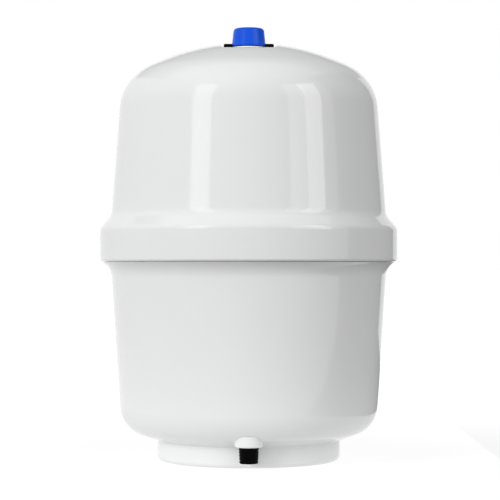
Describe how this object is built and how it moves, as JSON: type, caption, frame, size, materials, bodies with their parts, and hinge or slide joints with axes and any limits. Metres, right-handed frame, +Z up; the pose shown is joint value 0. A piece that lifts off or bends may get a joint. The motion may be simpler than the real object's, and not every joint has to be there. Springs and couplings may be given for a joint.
{
  "type": "reverse osmosis storage tank",
  "caption": "Upright white plastic pressure tank with a wide belt at mid height, a foot ring, a blue-capped water port on top and a black-capped air valve at the foot.",
  "frame": {"origin": "on the floor, under the middle of the foot ring", "axes": "+Z up along the tank's axis, -Y towards the air valve at the front, +X to the right"},
  "size_m": [0.26, 0.26, 0.3778],
  "materials": {
    "white_shell": "glossy moulded polypropylene",
    "blue_cap": "semi-gloss moulded polyethylene",
    "black_plastic": "satin moulded plastic",
    "liner": "natural moulded polypropylene",
    "butyl_rubber": "matt moulded butyl",
    "seal_rubber": "matt moulded rubber",
    "stainless": "turned stainless steel",
    "brass": "turned brass",
    "plated_steel": "zinc-plated steel"
  },
  "bodies": {
    "tank": {"upper_shell": "white_shell", "lower_shell": "white_shell", "foot_ring": "white_shell", "water_liner": "liner", "diaphragm": "butyl_rubber", "clamp_ring": "liner", "port_fitting": "stainless", "port_gasket": "seal_rubber", "port_screen": "liner", "port_lock_nut": "black_plastic", "valve_stem": "brass", "valve_grommet": "seal_rubber", "valve_washer": "plated_steel", "valve_nut": "brass", "core_barrel": "brass", "core_packing": "seal_rubber", "core_spring": "stainless"},
    "port_cap": {"port_cap": "blue_cap"},
    "valve_cap_travel": {"valve_cap_seal": "seal_rubber"},
    "valve_cap": {"valve_cap": "black_plastic"},
    "core_pin": {"core_pin": "brass", "core_cup_seal": "seal_rubber"}
  },
  "joints": [
    {"name": "port_cap_pull", "type": "slide", "parent": "tank", "child": "port_cap", "axis": [0, 0, 1], "range_m": [0, 0.013]},
    {"name": "valve_cap_unscrew", "type": "slide", "parent": "tank", "child": "valve_cap_travel", "axis": [0, 0, -1], "range_m": [0, 0.004]},
    {"name": "valve_cap_turn", "type": "hinge", "parent": "valve_cap_travel", "child": "valve_cap", "pos_m": [0, -0.093, 0.0058], "axis": [0, 0, -1], "range_deg": [0, 1800]},
    {"name": "core_pin_press", "type": "slide", "parent": "tank", "child": "core_pin", "axis": [0, 0, 1], "range_m": [0, 0.0015], "stiffness_N_per_m": 1500, "springref_m": -0.0005, "deforming": ["core_spring"]}
  ],
  "couplings": [
    {"joint": "valve_cap_unscrew", "follows": "valve_cap_turn", "m_per_rad": 0.00012633}
  ]
}
